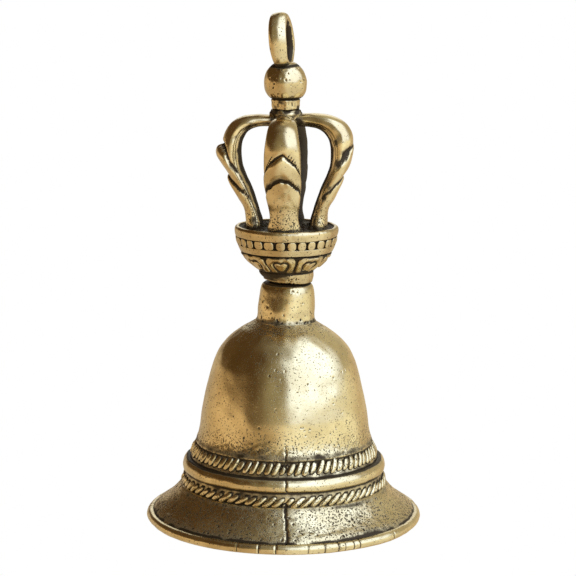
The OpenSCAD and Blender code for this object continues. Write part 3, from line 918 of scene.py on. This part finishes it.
def hub():
    """Dark hub where the prongs' tips run together under the collar."""
    profile = spline([[0.01, 43.12], [0.9, 43.15], [1.25, 43.6], [1.55, 44.2], [1.72, 44.5],
                      [1.66, 44.75], [1.45, 44.95], [0.01, 44.98]], 8)

    def lift(theta, s, r, z):
        return (0.09 * np.cos(4 * (theta - CROWN_TURN)) * bump(z - 44.2, 0.6)
                + 0.05 * waves(theta, s, 101, 50, 12, 1.2)) * step(r, 0.5, 1.2)

    p, theta, r, z = spin(profile, 0.07, 192, lift)
    patina_and_shade = 0.50 + 0.30 * waves(theta, z, 102, 40, 9, 0.8)
    return cast("crown_hub", p, "crown_brass", patina_and_shade_from(p, patina_and_shade))


def collar():
    """Short collar under the ball, dented, with dark lines above and below."""
    profile = np.concatenate([[[0.01, COLLAR_LOW]], spline([
        [1.30, COLLAR_LOW], [1.46, 45.06], [1.50, 45.3], [1.50, 45.75], [1.54, 45.95],
        [1.46, 46.10], [1.30, COLLAR_TOP]], 6), [[0.01, COLLAR_TOP]]])

    def lift(theta, s, r, z):
        d = 0.05 * waves(theta, s, 111, 24, 7, 3) + 0.03 * waves(theta, s, 112, 50, 24, 0.9)
        return d * step(r, 0.9, 1.3)

    p, theta, r, z = spin(profile, 0.06, 192, lift)
    patina_and_shade = 0.12 + 0.8 * step(z, 45.12, 45.0) + 0.9 * step(z, 45.98, 46.1)
    patina_and_shade += 0.34 * waves(theta, z, 113, 40, 9, 0.9)
    return cast("finial_collar", p, "crown_brass", patina_and_shade_from(p, patina_and_shade))


def ball():
    """Finial ball, drawn up a little to meet the loop."""
    profile = np.concatenate([[[0.01, 46.13]], spline([
        [1.42, 46.13], [1.82, 46.38], [2.16, 46.95], [2.27, 47.70], [2.21, 48.35],
        [1.98, 49.00], [1.60, 49.52], [1.05, 49.95], [0.45, 50.12], [0.01, 50.15]], 6)])
    rng = np.random.default_rng(23)
    marks = [(rng.uniform(-pi, pi), rng.uniform(46.4, 49.4), rng.uniform(0.06, 0.16))
             for _ in range(60)]
    marks += [(FRONT - 0.62, 47.45, 0.22), (FRONT - 0.36, 46.75, 0.2)]

    def lift(theta, s, r, z):
        d = 0.04 * waves(theta, s, 121, 24, 4, 5) + 0.010 * waves(theta, s, 122, 50, 20, 1)
        return (d - pocks(theta, r, z, marks)) * step(r, 0.6, 1.4)

    p, theta, r, z = spin(profile, 0.07, 288, lift)
    around_loop = bump(np.hypot(p[..., 0] + 0.05, p[..., 1]) - 1.45, 0.22) * step(z, 49, 49.4)
    patina_and_shade = 0.8 * step(z, 46.5, 46.25) + 0.85 * around_loop
    patina_and_shade += 0.10 * waves(theta, z, 123, 40, 6, 1.5)
    return cast("finial_ball", p, "crown_brass", patina_and_shade_from(p, patina_and_shade), pits=0.22)


# The loop's turn and lean in degrees, the height it leans from, and its centre's x and z
LOOP_TURN, LOOP_LEAN = -12, 5
LOOP_PIVOT = 49.8
LOOP_CENTRE = (-0.12, 52.20)


def hanging_loop():
    """Flat-banded oval loop, leaning a little, its feet sunk in the top of the ball."""
    turns, around = 220, 40
    a = circle(turns)[:, None]
    b = circle(around)[None]
    lowered = step(-np.sin(a), 0.0, 0.9)
    half_w = 0.94 - 0.16 * lowered
    half_t = 0.53 + 0.03 * np.sin(a)
    c, s = np.cos(b), np.sin(b)
    radial = half_t * np.sign(c) * np.abs(c) ** 0.9
    radial = radial - 0.28 * s * np.maximum(c, 0) * step(-np.cos(a), 0.0, 0.8)
    axial = half_w * np.sign(s) * np.abs(s) ** 0.8
    ring_y, ring_z = 2.08, 2.52
    ny, nz = np.cos(a) / ring_y, np.sin(a) / ring_z
    size = np.hypot(ny, nz)
    wobble = 0.03 * waves(a, b * 1.0, 131, 24, 6, 6.28)
    y = ring_y * np.cos(a) * (1 - 0.10 * np.sin(a)) + (radial + wobble) * ny / size
    z = ring_z * np.sin(a) + (radial + wobble) * nz / size
    x = axial + 0 * a
    turn, lean = radians(LOOP_TURN), radians(LOOP_LEAN)
    gx = x * cos(turn) - y * sin(turn)
    gy = x * sin(turn) + y * cos(turn)
    gz = z + LOOP_CENTRE[1] - LOOP_PIVOT
    px = gx * cos(lean) - gz * sin(lean) + LOOP_CENTRE[0]
    pz = gx * sin(lean) + gz * cos(lean) + LOOP_PIVOT
    p = np.stack([px, gy + 0 * gx, pz], axis=2)
    # Painted shade inside the band, with a painted mottled reflection on it.
    inside = step(-np.cos(b), 0.2, 0.8) + 0 * a
    patina_and_shade = 0.80 * inside + 0.7 * step(pz, 50.2, 49.8)
    patina_and_shade += 0.22 * inside * waves(b, a * 2.5, 133, 60, 5, 1.0)
    return cast("hanging_loop", p, "crown_brass", patina_and_shade, closed=True)


# ---- clapper


def wire(name, line, radius, body, slot, part, closed, dark, seed):
    """Wire bent along a line of points, slightly uneven; radius is a number or a list."""
    q = np.array(line, float)
    along = np.roll(q, -1, 0) - np.roll(q, 1, 0) if closed else np.gradient(q, axis=0)
    up = np.array([1.0, 0, 0]) if np.ptp(q[:, 0]) < np.ptp(q[:, 1]) else np.array([0, 1.0, 0])
    side = unit(np.cross(along, up))
    b = circle(28)[None, :, None]
    s = np.arange(len(q))[:, None] * 0.12
    r = (np.broadcast_to(radius, len(q))[:, None]
         * (1 + 0.03 * waves(b[..., 0], s, seed, 24, 3, 3)))[..., None]
    p = q[:, None, :] + r * (np.cos(b) * up + np.sin(b) * side[:, None, :])
    value = dark + 0.15 * waves(b[..., 0], s, seed + 1, 30, 3, 2)
    return grid_mesh(name, p, body, slot, [part], value, closed=closed)


STAPLE_R = 0.45
LINK_R = 0.345


def staple():
    """Wire staple under the crown of the dome."""
    z0 = low("clapper_staple") + 0.45
    z1 = high("clapper_staple") + 0.15
    arc = [[0, 1.3 * sin(a), z0 + 1.3 - 1.3 * cos(a)] for a in np.linspace(-pi / 2, pi / 2, 30)]
    line = ([[0, -1.3, z] for z in np.linspace(z1, z0 + 1.35, 8)] + arc
            + [[0, 1.3, z] for z in np.linspace(z0 + 1.35, z1, 8)])
    return wire("clapper_staple_wire", line, STAPLE_R, "bell", "inner_brass", "clapper_staple",
                closed=False, dark=0.35, seed=201)


def link():
    """Ring that joins the clapper's eye to the staple."""
    lo, hi = low("clapper_link"), high("clapper_link")
    r, z = (hi - lo - 0.7) / 2, (lo + hi) / 2
    line = [[r * cos(a), 0, z + r * sin(a)] for a in circle(56)]
    return wire("clapper_link_wire", line, LINK_R, "link", "clapper_brass", "clapper_link",
                closed=True, dark=0.25, seed=211)


def clapper_rod():
    """Shank with an eye bent at its upper end."""
    top = high("clapper_rod")
    r = 1.2
    z = top - 0.35 - r
    eye = [[0, r * sin(a), z + r * cos(a)] for a in np.linspace(-pi * 0.97, pi * 0.97, 52)]
    shank_low = low("clapper_rod") + 0.05
    lowered = np.linspace(z - r - 0.05, shank_low, 60)
    line = eye + [[0, 0.03 * sin(v), v] for v in lowered]
    thick = [LINK_R] * len(eye) + list(np.linspace(0.42, 0.58, len(lowered)))
    return wire("clapper_rod_cast", line, np.array(thick), "clapper", "clapper_brass",
                "clapper_rod", closed=False, dark=0.25, seed=221)


def clapper_ball():
    """Striker: a ball with a small tip, worn bright round its middle."""
    z0 = low("clapper_ball")
    zc = z0 + 0.35 + 2.3
    arc = [[2.3 * cos(a), zc + 2.3 * sin(a)] for a in np.linspace(-1.33, 1.28, 60)]
    profile = [[0.01, z0], [0.40, z0 + 0.02], [0.54, z0 + 0.16]] + arc + [[0.01, arc[-1][1] + 0.1]]

    def lift(theta, s, r, z):
        d = 0.03 * waves(theta, s, 231, 24, 5, 4) + 0.008 * waves(theta, s, 232, 50, 20, 1)
        return (d - 0.03) * step(r, 0.4, 1.0)

    p, theta, r, z = spin(profile, 0.09, 160, lift)
    patina_and_shade = 0.10 + 0.35 * step(np.abs(z - zc), 1.0, 2.2)
    patina_and_shade += 0.12 * waves(theta, z, 233, 40, 6, 2)
    return grid_mesh("clapper_ball_cast", p, "clapper", "clapper_brass", ["clapper_ball"],
                     patina_and_shade_from(p, patina_and_shade))


# ---- floor, light, camera


def floor():
    """Plain white floor. Only the eye sees it, so it neither lights nor shades the bell, and
    it is one-sided, so that the clapper can be looked at from below."""
    columns, radius = 96, 0.06
    ring = [(radius * cos(a), radius * sin(a), 0.0) for a in circle(columns)]
    mesh = bpy.data.meshes.new("floor")
    mesh.from_pydata(ring, [], [tuple(range(columns))])
    white = bpy.data.materials.new("floor_white")
    t = fresh_tree(white)
    below = node(t, "ShaderNodeNewGeometry").outputs["Backfacing"]
    glow = node(t, "ShaderNodeEmission", {"Color": (1, 1, 1, 1), "Strength": 1.0})
    clear = node(t, "ShaderNodeBsdfTransparent")
    both = node(t, "ShaderNodeMixShader", {0: below, 1: glow.outputs[0], 2: clear.outputs[0]})
    node(t, "ShaderNodeOutputMaterial", {"Surface": both.outputs[0]})
    mesh.materials.append(white)
    ground = add_object("floor", mesh)
    ground.location.z = -0.00002
    for kind in ("diffuse", "glossy", "transmission", "volume_scatter", "shadow"):
        setattr(ground, "visible_" + kind, False)


# Linear colours of the room that the brass reflects
DARK_SIDE, MIDDLE, FAR_RIGHT = (0.10, 0.056, 0.022), (0.31, 0.27, 0.17), (0.58, 0.52, 0.37)
CEILING_LEFT, CEILING_RIGHT = (0.21, 0.175, 0.12), (0.44, 0.44, 0.38)
TABLE_NEAR, TABLE_FAR, TABLE_RIGHT = (1.02, 1.00, 0.90), (1.32, 1.33, 1.14), (0.72, 0.58, 0.38)
WARM_NEAR, WARM_FAR, WARM_BACK = (0.68, 0.51, 0.32), (0.95, 0.69, 0.41), (0.60, 0.49, 0.36)
WINDOW, BEHIND, WHITE = (1.66, 1.94, 2.60), (1.1, 1.1, 1.05), (1.0, 1.0, 1.0)


def world_light():
    """The room round the bell: a wide window on the right, dark on the left, white behind.

    Angles are in degrees, azimuth 0 towards the camera and positive to its right."""
    world = bpy.data.worlds.new("room")
    t = fresh_tree(world)
    way = node(t, "ShaderNodeTexCoord").outputs["Generated"]
    x, y, z = node(t, "ShaderNodeSeparateXYZ", {0: way}).outputs
    turn = 180 / pi
    around = times(t, calc(t, "ARCTAN2", x, times(t, y, -1.0)), turn)
    above = times(t, calc(t, "ARCSINE", z), turn)

    def shear(amount):
        return plus(t, around, times(t, above, amount))

    colour = mix(t, ramp(t, around, -48, -12), DARK_SIDE, MIDDLE)
    colour = mix(t, ramp(t, around, 80, 115), colour, FAR_RIGHT)
    zenith = mix(t, ramp(t, x, -0.4, 0.3), CEILING_LEFT, CEILING_RIGHT)
    colour = mix(t, ramp(t, above, 50, 84), colour, zenith)
    table = mix(t, ramp(t, above, -18, 0), TABLE_NEAR, TABLE_FAR)
    warm = mix(t, ramp(t, above, -12, 2), WARM_NEAR, WARM_FAR)
    warm = mix(t, ramp(t, around, -155, -100), WARM_BACK, warm)
    table = mix(t, ramp(t, around, -30, 25), warm, table)
    table = mix(t, ramp(t, around, 92, 140), table, TABLE_RIGHT)
    dip = times(t, ramp(t, around, -72, -38), ramp(t, around, 0, -28))
    table_edge = plus(t, above, times(t, dip, 7.0))
    colour = mix(t, ramp(t, table_edge, 11, 2), colour, table)

    # The window: its slanting sides, then its lower and upper end
    left_edge = calc(t, "MINIMUM", ramp(t, shear(0.15), 4, 16), ramp(t, shear(-1.6), -105, -60))
    sides = times(t, left_edge, ramp(t, shear(-0.45), 106, 78))
    ends = times(t, ramp(t, above, 2, 14), ramp(t, above, 92, 70))
    colour = mix(t, times(t, sides, ends), colour, WINDOW)

    behind = node(t, "ShaderNodeVectorMath", {0: way, 1: Vector((0, 0.92, 0.38))},
                  operation="DOT_PRODUCT").outputs["Value"]
    colour = mix(t, ramp(t, behind, 0.925, 0.975), colour, BEHIND)
    rays = node(t, "ShaderNodeLightPath")
    seen = mix(t, rays.outputs["Is Camera Ray"], colour, WHITE)
    shine = node(t, "ShaderNodeBackground", {"Color": seen, "Strength": 1.0})
    node(t, "ShaderNodeOutputWorld", {"Surface": shine.outputs[0]})
    bpy.context.scene.world = world


# Where the camera stands, in metres, and how far it looks down and leans, in degrees
EYE = (0.00002, -0.2371, 0.0684)
LOOK_DOWN, LEAN = 10.24, -0.40


def camera():
    """Long lens a little above the bell, looking down at it."""
    lens = bpy.data.cameras.new("camera")
    lens.sensor_width = 36.0
    lens.lens = 139.0
    lens.clip_start = 0.01
    eye = add_object("camera", lens)
    eye.location = EYE
    eye.rotation_euler = (radians(90 - LOOK_DOWN), radians(LEAN), 0)
    bpy.context.scene.camera = eye


def make_bell():
    dome()
    rim_bead()
    rope_band("lower_rope_cast", "lower_rope_band", seat_r=10.6, low_r=11.37, top_r=11.12,
              z0=3.95, z1=5.26, slant=0.95, strands=68, seed=301)
    waist_ring()
    rope_band("upper_rope_cast", "upper_rope_band", seat_r=9.3, low_r=10.42, top_r=9.80,
              z0=7.15, z1=8.76, slant=0.40, strands=78, seed=302)
    neck()
    lotus_foot()
    lotus_cup()
    lotus_petals()
    bead_row()
    cup_rim()
    for which in PRONG_ANGLE:
        prong(which)
    hub()
    collar()
    ball()
    hanging_loop()
    staple()
    link()
    clapper_rod()
    clapper_ball()
    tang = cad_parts["handle_tang"]
    tang.data.materials.clear()
    tang.data.materials.append(brass("inner_brass"))


bpy.context.scene.view_settings.view_transform = "Standard"
camera()
world_light()
floor()
make_bell()
